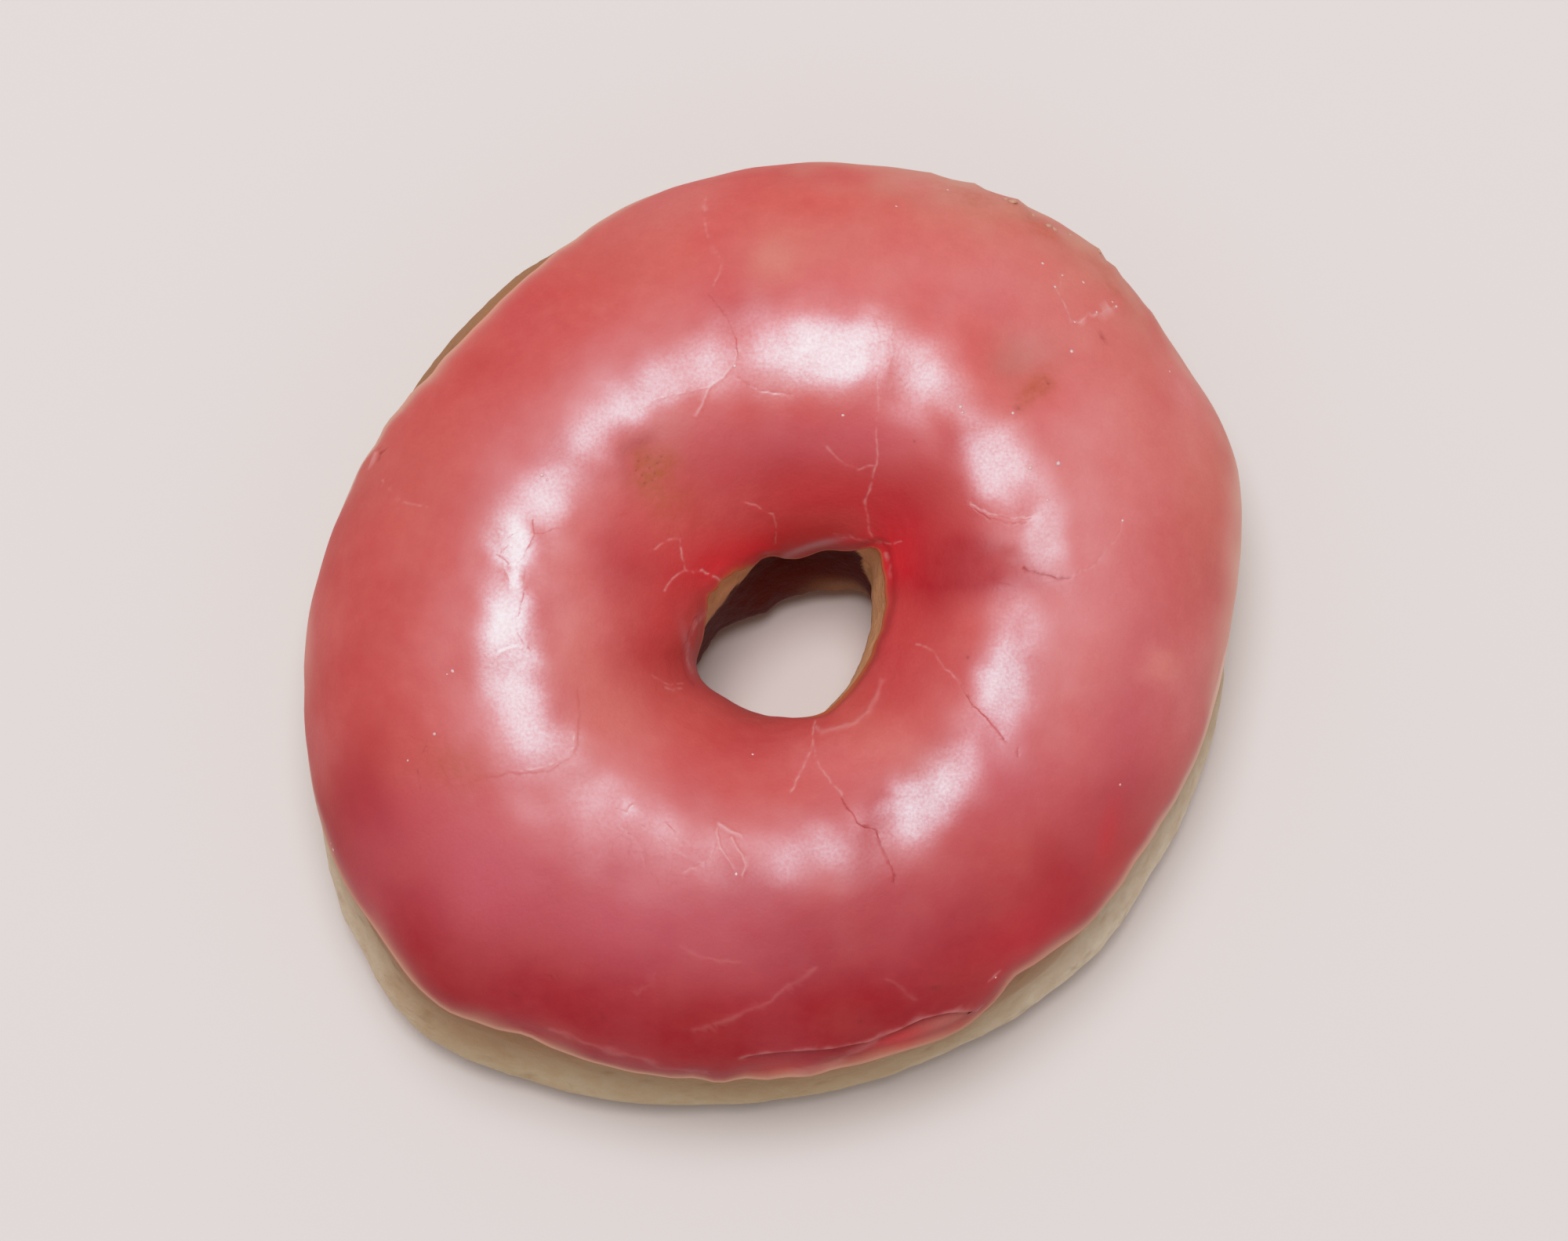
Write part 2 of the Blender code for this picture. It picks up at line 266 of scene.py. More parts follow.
# How pale the icing's outer edge is where it thins out: (degrees, share)
RIM_PALE = (
    (0, 0.8), (20, 0.8), (38, 0.4), (60, 0.25), (85, 0.2), (105, 0.25), (150, 0.3), (170, 0.6),
    (192, 0.6), (208, 0.15), (230, 0.0), (300, 0.0), (335, 0.5),
)
# How far the lip in the hole hangs in or draws back: (degrees, millimetres)
LIP_SWELL = (
    (0, 0.0), (30, 0.0), (48, -0.15), (60, -0.25), (68, 0.15), (76, 0.3), (84, 0.1), (93, -0.45),
    (101, -0.4), (110, 0.0), (125, 0.25), (145, 0.4), (160, 0.2), (178, 0.0), (200, 0.1),
    (250, 0.0), (300, -0.15),
)
# How far in from the lip the icing is thin and orange: (degrees, millimetres)
LIP_REACH = (
    (0, 0.5), (40, 0.2), (70, 0.1), (100, 0.2), (122, 0.8), (150, 0.4), (180, 0.1), (250, 0.1),
    (288, 0.8), (312, 1.8), (335, 1.3),
)

# Small raised or sunk spots on the icing: (x, y, long, wide, lift), in pixels and millimetres, and
# last the degrees that a spot is turned, if it is
BLISTERS = (
    (655, 688, 27, 31, 0.14), (657, 734, 13, 17, 0.1, 10), (830, 595, 32, 40, -0.3, 10),
    (1290, 450, 50, 45, -0.25), (575, 972, 45, 30, -0.12, 10), (1485, 850, 26, 22, 0.1),
    (1037, 450, 90, 45, -0.12, 5), (1272, 592, 42, 48, -0.1), (1326, 680, 32, 46, -0.1),
    (1180, 1020, 74, 40, -0.12, 42), (1285, 880, 34, 56, -0.1), (654, 880, 40, 80, -0.12),
    (700, 630, 34, 38, -0.08, -30), (1232, 530, 26, 24, 0.12, 40), (1300, 762, 40, 24, 0.1),
    (1238, 942, 26, 22, 0.12, 40), (1120, 1030, 22, 44, 0.1, -20), (932, 1085, 24, 36, 0.1),
    (735, 975, 30, 24, 0.1, -30), (770, 545, 26, 24, 0.06, 30), (1125, 470, 14, 44, 0.08),
    (1290, 260, 9, 9, 0.5, -25), (1301, 264, 6, 8, 0.4), (1334, 288, 8, 8, 0.45, -35),
    (1346, 297, 7, 8, 0.55, -35), (1398, 314, 9, 9, 0.6, -45), (1372, 304, 9, 8, 0.2, -40),
    (1316, 272, 8, 8, -0.2, -30), (1240, 232, 9, 8, 0.3, -10), (1186, 222, 12, 8, 0.14),
    (1420, 338, 8, 10, 0.25, -45), (1470, 404, 10, 10, 0.18, -55),
)

# Soft patches of the icing's colour and gloss, given the same way, with an amount for the lift.
# First, where the icing is deep red
DEEP = (
    (830, 800, 46, 100, 0.4, 10), (790, 1280, 190, 64, 0.9, -14), (560, 1180, 70, 120, 0.8, 35),
    (1400, 1120, 60, 110, 0.4, -35), (1200, 1250, 170, 70, 0.75, 22), (1000, 1310, 190, 50, 0.9, 3),
    (640, 1240, 100, 60, 0.7, -30), (1110, 1345, 60, 20, 1.1, 10), (1194, 1262, 14, 5, 0.8, -10),
    (1395, 1030, 40, 50, 0.3), (450, 1000, 60, 90, 0.6, 10), (480, 1090, 50, 90, 0.6, 25),
    (656, 1271, 22, 9, 0.9, -10), (792, 1302, 34, 13, 1.0), (1338, 1080, 30, 40, 0.3, 20),
    (820, 1262, 30, 12, 0.4, 10), (1098, 1304, 10, 5, 0.9), (900, 1322, 40, 12, 0.5),
    (1060, 610, 130, 50, 0.45), (1240, 700, 56, 50, 0.6, -20), (1165, 680, 70, 90, 0.7, 20),
    (1190, 760, 40, 50, 0.5), (880, 560, 60, 40, 0.2, 30), (1230, 560, 30, 24, 0.3),
    (1276, 724, 54, 28, 1.4), (1196, 958, 50, 30, 0.6, 45), (960, 1125, 60, 30, 0.7),
    (1130, 725, 50, 30, 0.4), (1200, 490, 40, 20, 0.3, -30), (408, 1055, 36, 60, 0.25, 10),
    (1445, 1010, 50, 60, 0.5), (1114, 1044, 18, 44, 0.5, -20), (720, 560, 30, 24, 0.4, 40),
    (800, 486, 40, 20, 0.3, 30), (950, 396, 50, 24, 0.4, 10), (816, 563, 28, 12, 0.9, 24),
    (796, 594, 9, 26, 0.4, 8), (1285, 878, 34, 60, 0.5), (1176, 1030, 70, 44, 0.6, 44),
    (1050, 1085, 60, 50, 0.6), (1345, 746, 40, 12, 0.5, -8), (700, 940, 56, 46, 0.25),
)
# Where the icing is clear and bright red; round the hole this is also painted light,
# brightening slopes that the lamp leaves in shade
CRIMSON_AND_LIGHT = (
    (1010, 690, 150, 26, 0.5, 4), (1140, 690, 60, 60, 0.15, -20), (940, 715, 60, 24, 0.6, 20),
    (1140, 780, 34, 80, 0.25), (850, 790, 30, 80, 0.2, 5), (1050, 640, 100, 40, 0.35),
    (1415, 1060, 12, 50, 0.3, -12), (895, 735, 40, 30, 0.3, 30), (1150, 1332, 46, 9, 0.9, 18),
    (1124, 718, 40, 30, 0.7), (1320, 1195, 90, 50, 0.3, 35), (1440, 1115, 30, 50, 0.4, -25),
    (1010, 1368, 50, 5, 0.5, 4),
)
# Where it is milky: partly the icing's whitish bloom, partly painted sheen beside the highlights
MILKY_AND_SHEEN = (
    (1400, 690, 100, 150, 0.65), (1420, 540, 80, 90, 0.5), (1160, 340, 180, 50, 0.45, -6),
    (1340, 400, 120, 70, 0.4, -30), (1520, 870, 50, 110, 0.55, -10), (1370, 830, 60, 100, 0.4),
    (640, 640, 60, 70, 0.4, -20), (590, 850, 60, 130, 0.35), (770, 480, 110, 50, 0.55, 35),
    (900, 1060, 190, 46, 0.4, -4), (720, 990, 70, 50, 0.4, -20), (1130, 960, 90, 40, 0.3, 30),
    (880, 260, 60, 30, 0.3, 20), (740, 790, 44, 110, 0.4), (1050, 968, 70, 34, 0.45),
    (1530, 520, 34, 90, 0.6, -10), (640, 580, 30, 40, 0.2), (1200, 236, 70, 14, 0.8, -12),
    (1485, 850, 26, 22, 0.5), (1530, 470, 40, 60, 0.3), (800, 965, 50, 40, 0.35),
    (1360, 960, 50, 46, 0.3), (1360, 600, 46, 70, 0.25), (400, 950, 30, 50, 0.35),
    (1040, 1122, 46, 24, 0.3), (1290, 960, 40, 30, 0.15), (880, 1120, 46, 24, 0.3),
    (560, 850, 34, 70, 0.2), (404, 800, 30, 60, 0.2),
)
# Dull greyish dents
GREYISH = ((1292, 462, 34, 34, 0.5), (1330, 440, 40, 24, 0.3, 20), (860, 560, 20, 40, 0.2, 10))
# Where the skin of the icing is crazed
CRAZED = (
    (820, 1090, 120, 56, 0.6, -8), (1070, 450, 130, 60, 0.5), (680, 760, 50, 120, 0.5),
    (1290, 640, 60, 110, 0.5), (1180, 1010, 100, 60, 0.5, 40), (700, 1230, 130, 60, 0.5, -20),
    (545, 970, 50, 50, 0.7), (1290, 740, 90, 26, 0.5),
)
# Where it is rosy
ROSE = (
    (850, 1170, 260, 80, 0.7), (600, 1080, 120, 110, 0.6), (1440, 930, 90, 130, 0.7, -10),
    (1060, 560, 140, 40, 0.6), (1400, 760, 90, 60, 0.4), (1290, 980, 80, 80, 0.5),
    (760, 470, 120, 60, 0.3, 30), (640, 620, 60, 110, 0.3, 10), (480, 1080, 50, 90, 0.25, 25),
)
# Where it is pale and warm
PEACH = (
    (985, 330, 34, 30, 0.8), (1420, 400, 90, 120, 0.4, 40), (1240, 270, 120, 40, 0.5, -20),
    (1460, 560, 60, 80, 0.2), (1485, 850, 24, 20, 0.6), (520, 600, 90, 120, 0.2, 30),
    (820, 300, 100, 60, 0.3, 30), (732, 770, 30, 80, 0.3), (780, 900, 60, 60, 0.5),
    (1140, 950, 80, 30, 0.3, -30), (1545, 620, 40, 120, 0.5, -8), (1060, 300, 120, 40, 0.3),
    (1212, 1309, 44, 9, 0.6, 18),
)
# Where its pale rim shows at the sides
RIM_SIDES = (
    (1588, 640, 20, 80, 0.4, -4), (1586, 780, 20, 80, 0.4, 4), (1572, 900, 18, 70, 0.4, 10),
    (386, 790, 10, 90, 0.3),
)
# Where it is stained brown
STAIN = (
    (826, 597, 25, 30, 1.3, 10), (850, 596, 14, 18, 0.5), (575, 975, 46, 28, 0.45, -10),
    (1320, 497, 13, 38, 0.9, -42), (1240, 250, 66, 14, 0.6, -22), (860, 640, 36, 30, 0.35),
    (1330, 290, 60, 12, 0.5, -40), (1410, 346, 66, 12, 0.5, -52),
)
# Where it is glossy, and below 0 where the gloss has gaps
GLOSS = (
    (1044, 452, 84, 40, 0.72, 6), (1066, 446, 36, 40, 0.38), (1170, 474, 34, 34, 0.42, -30),
    (1204, 512, 24, 14, 0.16, -40), (1268, 592, 38, 46, 0.58, -10), (1310, 606, 28, 20, 0.12, -20),
    (1334, 686, 26, 48, 0.68, 2), (1176, 1030, 64, 38, 0.62, 44), (1234, 966, 32, 20, 0.14, 45),
    (1282, 880, 32, 56, 0.6, -4), (1312, 806, 28, 44, 0.3, -14), (1056, 1086, 44, 46, 0.1, 20),
    (1120, 410, 30, 20, 0.22), (1114, 1048, 16, 46, -0.16, -20), (1084, 1076, 22, 34, 0.06, -20),
    (1110, 470, 12, 40, -0.12), (1276, 722, 32, 20, -0.16), (1026, 1098, 34, 28, 0.14),
    (649, 688, 30, 34, 1.1), (657, 733, 11, 16, 0.65, 10), (702, 630, 30, 34, 0.44, -30),
    (764, 552, 46, 34, 0.2, 40), (802, 520, 44, 24, 0.26, 30), (868, 474, 56, 38, 0.22, 32),
    (900, 460, 30, 30, 0.14), (646, 800, 36, 56, 0.74), (651, 864, 40, 52, 0.74),
    (680, 940, 46, 36, 0.4, -20), (752, 1004, 36, 30, 0.14, -20), (802, 1026, 12, 12, 0.22),
    (1110, 905, 26, 9, 0.3, 55), (934, 1082, 24, 38, -0.08), (1040, 486, 110, 26, 0.22, 6),
    (738, 588, 36, 40, 0.08, -34), (650, 640, 26, 30, 0.25), (836, 514, 70, 14, 0.12, 30),
)
# Broad, weak gloss round those patches
SHEEN = (
    (1100, 446, 165, 84, 0.18, -6), (784, 524, 120, 60, 0.17, 40), (640, 740, 52, 110, 0.14),
    (650, 930, 66, 90, 0.08), (800, 1040, 130, 56, 0.12, -28), (1000, 1090, 110, 44, 0.07, 4),
    (1292, 690, 60, 130, 0.07, 4), (1300, 870, 56, 110, 0.1, -4), (1190, 1030, 110, 66, 0.08, 42),
)
# Lilac gleams painted along the rolled lip: painted highlights
PAINTED_GLEAMS = (
    (1016, 706, 30, 4, 0.6, 20), (1052, 695, 22, 4, 0.5, 14), (879, 828, 5, 30, 0.22, 12),
    (889, 794, 4, 14, 0.15, -30),
)
# Dark specks: (x, y, size), in pixels
DOTS = (
    (1234, 838, 2.2), (1166, 563, 1.8), (1194, 1262, 3.0), (1098, 1304, 3.0), (1337, 488, 2.4),
    (1299, 521, 2.8), (1408, 430, 2.6), (914, 1364, 2.4), (656, 1271, 2.2), (770, 1300, 2.2),
    (820, 606, 1.6), (836, 604, 1.6), (815, 588, 1.4), (827, 583, 1.3), (839, 591, 1.4),
    (829, 597, 1.5), (823, 616, 1.5), (844, 583, 1.2), (812, 600, 1.3), (833, 613, 1.3),
)

# Share of the given half widths, depths and lips that the cracks get
CRACK_WIDTH = 0.5
PALE_CRACK_WIDTH = 0.8
CRACK_DEPTH = 0.45

VEIL = 0.14  # the gloss all along the crown
DULL = 0.60  # the icing's roughness away from its glossy patches, and in them
GLOSSY = 0.32

# The second coat's edge, low on the side nearest the camera, and how far it stands up, between
# these sides of the picture and below this line
COAT_EDGE = (
    (946, 1351), (1012, 1344), (1062, 1339), (1112, 1331), (1145, 1318), (1178, 1303), (1211, 1295),
    (1248, 1293),
)
COAT_STEP = 0.55
COAT_SIDES = (930, 1275)
COAT_TOP = 1270

# Lines in the picture below which the icing is duskier, as painted shade on the side away from the
# lamp, above which it is brighter, as painted light, and right of which it is brighter still
SHADE_FROM = 980
LIGHT_TO = 700
MORE_LIGHT_FROM = 750

# Flakes of icing: (x, y, size in millimetres)
FLAKES = (
    (1225, 519, 0.4), (1350, 591, 0.42), (1314, 597, 0.44), (1367, 448, 0.36), (1382, 360, 0.3),
    (1330, 336, 0.28), (1355, 351, 0.26), (1346, 366, 0.3), (1371, 411, 0.24), (1399, 398, 0.32),
    (1424, 391, 0.34), (1419, 385, 0.22), (1292, 527, 0.34), (1143, 263, 0.24), (577, 856, 0.36),
    (570, 860, 0.2), (554, 936, 0.3), (937, 467, 0.28), (816, 522, 0.3), (691, 606, 0.34),
    (698, 612, 0.24), (960, 962, 0.26), (1429, 1001, 0.28), (1075, 530, 0.28), (1336, 638, 0.24),
    (1270, 1247, 0.2), (939, 1115, 0.3), (1209, 242, 0.26), (425, 1084, 0.34), (422, 1076, 0.24),
    (1492, 474, 0.24), (520, 970, 0.22), (989, 914, 0.24), (1228, 526, 0.3), (1432, 664, 0.26),
)
# Bits of dry, tan icing along the far rim
RIM_FLAKES = (
    (1292, 257, 0.75), (1283, 254, 0.45), (1338, 288, 0.62), (1346, 293, 0.48), (1397, 313, 0.7),
    (1402, 320, 0.5), (1230, 229, 0.44), (1262, 243, 0.4), (1318, 275, 0.44), (1366, 300, 0.46),
)
FLAKE_SEED = 12
FLAKE_RADIUS = 0.6  # share of their sizes
RIM_FLAKE_RADIUS = 0.75


def around(knots, degrees):
    """A smooth closed curve through (degrees, value) knots, read at these degrees."""
    at, value = np.array(knots, float).T
    at = np.concatenate([at[-2:] - 360, at, at[:2] + 360])
    value = np.concatenate([value[-2:], value, value[:2]])
    slope = np.gradient(value, at)
    degrees = np.mod(degrees - at[2], 360) + at[2]
    i = np.searchsorted(at, degrees, side="right") - 1
    span = at[i + 1] - at[i]
    t = (degrees - at[i]) / span
    ease = t * t * (3 - 2 * t)
    start, end = t * (1 - t) ** 2, -t * t * (1 - t)
    bend = span * (slope[i] * start + slope[i + 1] * end)
    return value[i] * (1 - ease) + value[i + 1] * ease + bend


def smooth_step(share):
    """0 up to 0 and 1 from 1, with a soft rise between."""
    share = np.clip(share, 0, 1)
    return share * share * (3 - 2 * share)


def hill(number, middle, reach):
    """1 in the middle, falling softly to both sides."""
    return np.exp(-(((number - middle) / reach) ** 2))


def fade(away, reach):
    """1 at an edge, falling over this reach, and 0 where there is no reach."""
    share = np.maximum(away, 0) / np.maximum(reach, 1e-6)
    return np.where(reach > 0, np.exp(-(share**1.4)), 0)


def signed_power(number, power):
    return np.sign(number) * np.abs(number) ** power


def dough_skin(degrees, turn):
    """Points of the dough's skin, in millimetres, at these places on the ring."""
    waist = around(WAIST_REACH, degrees)
    hole = around(HOLE_REACH, degrees)
    crown = CROWN_SHARE * waist
    across, up = np.cos(np.radians(turn)), np.sin(np.radians(turn))
    above = up >= 0
    below = np.where(across > 0, FOOT_FULLNESS, THROAT_FULLNESS)
    power = 2 / np.where(above, DOME_FULLNESS, below)
    across, up = signed_power(across, power), signed_power(up, power)
    reach = crown + across * np.where(across > 0, waist - crown, crown - hole)
    swelling = smooth_step(-up / BELLY_DROP)
    reach = reach + around(BELLY_REACH, degrees) * swelling * np.clip(across, 0, 1)
    reach = reach - around(THROAT_REACH, degrees) * swelling * np.clip(-across, 0, 1)
    height = WAIST + np.where(above, up * (CROWN - WAIST), np.maximum(up / FLAT_DEPTH, -1) * WAIST)
    x, y = reach * np.cos(np.radians(degrees)), reach * np.sin(np.radians(degrees))
    for at_x, at_y, spread, lift in SWELLS:
        away = ((x - at_x) ** 2 + (y - at_y) ** 2) / spread**2
        height = height + lift * np.exp(-away) * np.clip(up, 0, 1)
    return np.stack([x, y, height], axis=-1)


def skin_normal(degrees, turn):
    """Unit vectors that point out of the dough there."""
    step = 0.25
    along = dough_skin(degrees + step, turn) - dough_skin(degrees - step, turn)
    over = dough_skin(degrees, turn + step) - dough_skin(degrees, turn - step)
    normal = np.cross(along, over)
    return normal / np.linalg.norm(normal, axis=-1, keepdims=True)


def turn_at_rise(rise):
    """The turn, from the outer waist upwards, at which the skin is this far above the waist."""
    share = np.where(rise > 0, rise / (CROWN - WAIST), -rise / WAIST * FLAT_DEPTH)
    fullness = np.where(rise > 0, DOME_FULLNESS, FOOT_FULLNESS)
    return np.degrees(np.arcsin(share ** (fullness / 2))) * np.sign(rise)


def picture_view():
    """The camera's place, and unit vectors from the aim back to it and up the picture."""
    lean = math.radians(LEAN)
    sin, cos = math.sin(lean), math.cos(lean)
    back, up = np.array([0, -sin, cos]), np.array([0, cos, sin])
    return np.array(AIM) + DISTANCE * back, back, up


def in_picture(points):
    """Where these points show in the picture, in its pixels."""
    eye, back, up = picture_view()
    away = points - eye
    zoom = DISTANCE / PIXEL / -(away @ back)
    right, down = PICTURE[0] / 2 + away[:, 0] * zoom, PICTURE[1] / 2 - (away @ up) * zoom
    return np.stack([right, down], axis=-1)


def ripple(points, size, seed, waves=14):
    """An even, random swell of hills about this far across, from about -1 to 1."""
    draw = np.random.default_rng(seed)
    total = np.zeros(len(points))
    for _ in range(waves):
        heading = draw.normal(size=3)
        heading *= 2 * math.pi / (size * draw.uniform(0.75, 1.5) * np.linalg.norm(heading))
        total += np.sin(points @ heading + draw.uniform(0, 2 * math.pi))
    return total / math.sqrt(waves)


def patches(at, spots, sharp=2):
    """Soft oval patches in the picture, added up. A higher sharp gives them clearer edges."""
    total = np.zeros(len(at))
    for x, y, long, wide, amount, *turn in spots:
        lean = math.radians(turn[0] if turn else 0)
        cos, sin = math.cos(lean), math.sin(lean)
        across, up = at[:, 0] - x, y - at[:, 1]
        along, aside = (across * cos + up * sin) / long, (up * cos - across * sin) / wide
        total += amount * np.exp(-((along**2 + aside**2) ** (sharp / 2)))
    return total


def line_distance(at, line):
    """How far these picture places are from a line of picture points, and which side they are on."""
    nearest = np.full(len(at), 1e9)
    side = np.zeros(len(at))
    line = np.array(line, float)
    for start, end in zip(line[:-1], line[1:]):
        along = end - start
        share = np.clip(((at - start) @ along) / (along @ along), 0, 1)
        off = at - start - share[:, None] * along
        away = np.hypot(off[:, 0], off[:, 1])
        closer = away < nearest
        nearest[closer] = away[closer]
        side[closer] = np.sign(along[0] * off[closer, 1] - along[1] * off[closer, 0])
    return nearest, side


def crack_marks(points, at):
    """The cracks' relief and their pale and dark marks at these points."""
    wobble = np.stack([ripple(points, 2.6, 31), ripple(points, 2.6, 32)], axis=-1) * 1.4
    wobble += np.stack([ripple(points, 1.0, 33), ripple(points, 1.0, 34)], axis=-1) * 0.6
    broken = 0.6 + 0.4 * ripple(points, 1.8, 35) + 0.35 * ripple(points, 0.7, 36)
    whole = 0.8 + 0.2 * ripple(points, 1.8, 35)
    lift, pale, dark = np.zeros((3, len(points)))
    for look, half, depth, lip, *line in CRACKS:
        away, side = line_distance(at + wobble, line)
        away = away * PIXEL / (half * (PALE_CRACK_WIDTH if look > 0 else CRACK_WIDTH))
        strength = whole if look > 0 and half > 0.15 else broken
        groove = hill(away, 0, 1) * np.clip(strength, 0.05, 1)
        plate = lip * hill(away, 0, 5) * side * np.clip(away / 1.5, 0, 1)
        lift += CRACK_DEPTH * (plate - depth * groove)
        if look > 0:
            pale = np.maximum(pale, look * groove)
        else:
            dark = np.maximum(dark, -look * groove)
    return lift, pale, dark


def near_cracks(at):
    """How far these picture places are from any crack, in millimetres."""
    lines = [crack[4:] for crack in CRACKS] + [COAT_EDGE]
    lines += [((x, y), (x + 1, y)) for x, y, _ in DOTS]
    return np.min([line_distance(at, line)[0] for line in lines], axis=0) * PIXEL


def spun_ring(section, steps):
    """A plain closed ring, spun from a section of (turn, level) points."""
    mould = bmesh.new()
    ring = []
    for turn, level in section:
        out = PLAIN_SECTION + PLAIN_SHELL * level
        across, up = out * math.cos(math.radians(turn)), out * math.sin(math.radians(turn))
        ring.append(mould.verts.new((PLAIN_RING + across, 0, up)))
    edges = [mould.edges.new((ring[i - 1], ring[i])) for i in range(len(ring))]
    bmesh.ops.spin(
        mould,
        geom=ring + edges,
        cent=(0, 0, 0),
        axis=(0, 0, 1),
        angle=2 * math.pi,
        steps=steps,
        use_merge=True,
    )
    bmesh.ops.remove_doubles(mould, verts=mould.verts, dist=1e-4)
    bmesh.ops.recalc_face_normals(mould, faces=mould.faces)
    return mould


def plain_places(mould):
    """The degrees, turn and level of every vertex of a plain ring."""
    at = np.array([vert.co for vert in mould.verts])
    degrees = np.degrees(np.arctan2(at[:, 1], at[:, 0]))
    across = np.hypot(at[:, 0], at[:, 1]) - PLAIN_RING
    turn = np.mod(np.degrees(np.arctan2(at[:, 2], across)) + 90, 360) - 90
    return degrees, turn, (np.hypot(across, at[:, 2]) - PLAIN_SECTION) / PLAIN_SHELL


def add_object(name, data):
    """A new object in the scene, with this mesh, lamp or camera."""
    made = bpy.data.objects.new(name, data)
    bpy.context.scene.collection.objects.link(made)
    return made


def piece_from(name, mould, points, marks, finish, node):
    """The finished piece: the mould's faces with its points in place, and its marks as attributes."""
    mesh = bpy.data.meshes.new(name)
    mould.to_mesh(mesh)
    mould.free()
    mesh.vertices.foreach_set("co", (points * MM).ravel())
    for mark, value in marks.items():
        layer = mesh.attributes.new(mark, "FLOAT", "POINT")
        value = np.where(value == SHARP_STOP, SHARP_STOP, np.clip(value, 0, 1))
        layer.data.foreach_set("value", value.astype(np.float32))
    mesh.update()
    mesh.shade_smooth()
    mesh.materials.append(finish)
    piece = add_object(name, mesh)
    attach(piece, "root")
    if node:
        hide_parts(node)
    return piece


def scallops(degrees, slowest, fastest, seed):
    """An uneven wave round the ring, from about -1 to 1."""
    draw = np.random.default_rng(seed)
    rates = range(slowest, fastest, 3)
    waves = [np.sin(np.radians(rate * degrees) + draw.uniform(0, 2 * math.pi)) for rate in rates]
    swell = 0.6 + 0.5 * np.sin(np.radians(3 * degrees)) * np.sin(np.radians(7 * degrees + 50))
    return sum(waves) * swell / math.sqrt(len(waves) / 2)


def icing_turn(degrees, share):
    """The turn of the icing's places: share runs from its foot, 0, to its lip in the hole, 1."""
    foot_rise = around(ICING_FOOT, degrees) + FOOT_WAVE * scallops(degrees, 14, 70, 21)
    lip_rise = around(ICING_LIP, degrees) + LIP_WAVE * scallops(degrees, 8, 30, 22)
    foot = turn_at_rise(foot_rise)
    lip = 180 - turn_at_rise(lip_rise)
    return foot + (lip - foot) * share


def icing_base(degrees, share, level):
    """The icing's points before its relief, with the normals there."""
    turn = icing_turn(degrees, share)
    inward = smooth_step(np.minimum(share, 1 - share) / EDGE_TAPER)
    top = ICING_EDGE_TOP + (ICING_TOP - ICING_EDGE_TOP) * inward
    near_lip = smooth_step((share - 0.93) / 0.05)
    top = top + near_lip * around(LIP_SWELL, degrees)
    off = ICING_SEAT + level * (top - ICING_SEAT)
    normal = skin_normal(degrees, turn)
    return dough_skin(degrees, turn) + normal * off[..., None], normal


def cut_finer(mould):
    """Cuts the top of the icing finer along its cracks."""
    for reach in REFINE_REACH:
        degrees, turn, level = plain_places(mould)
        at = in_picture(icing_base(degrees, turn / 180, level)[0])
        close = (near_cracks(at) < reach) & (level > 0.9) & (turn > 4) & (turn < 176)
        mould.verts.index_update()
        edges = [edge for edge in mould.edges if all(close[vert.index] for vert in edge.verts)]
        bmesh.ops.subdivide_edges(mould, edges=edges, cuts=1, use_grid_fill=True)


def icing_piece(finish):
    """The set strawberry icing, with its uneven coat, cracks, blisters and thin edges."""
    shares = [(share, 1.0) for share in np.linspace(0, 1, ICING_TOP_POINTS)]
    nose = [(0.5, 0.933), (0.866, 0.75), (1.0, 0.5), (0.866, 0.25), (0.5, 0.067)]
    shares += [(1 + EDGE_NOSE * out, level) for out, level in nose]
    shares += [(share, 0.0) for share in np.linspace(1, 0, ICING_UNDER_POINTS)]
    shares += [(-EDGE_NOSE * out, 1 - level) for out, level in nose]
    mould = spun_ring([(180 * share, level) for share, level in shares], ICING_STEPS)
    cut_finer(mould)
    degrees, turn, level = plain_places(mould)
    share = turn / 180
    points, normal = icing_base(degrees, share, level)
    at = in_picture(points)
    right, down = at.T
    top = smooth_step((level - 0.6) / 0.4)
    lift, pale, dark = crack_marks(points, at)
    uneven = ICING_SWELL * ripple(points, 8.0, 1) + ICING_DIMPLES * ripple(points, 3.2, 2)
    lift = lift + uneven - ICING_SINK
    lift += patches(at, BLISTERS)
    away, side = line_distance(at, COAT_EDGE)
    below = smooth_step(0.5 + side * away * PIXEL / 0.3)
    inside = smooth_step((right - COAT_SIDES[0]) / 60) * smooth_step((COAT_SIDES[1] - right) / 40)
    low = smooth_step((down - COAT_TOP) / 20)
    lift -= COAT_STEP * below * inside * low
    from_edge = np.minimum(share, 1 - share)
    lift = lift * smooth_step(from_edge / 0.03) - ICING_EDGE_SINK
    points = points + normal * (lift * top)[:, None]
    marks = icing_marks(points, at, degrees, share)
    marks["pale"] = pale
    specks = [(x, y, size, size, 0.6) for x, y, size in DOTS]
    marks["dark"] = np.maximum(dark, patches(at, specks))
    return piece_from("icing_coat", mould, points, marks, finish, "icing")


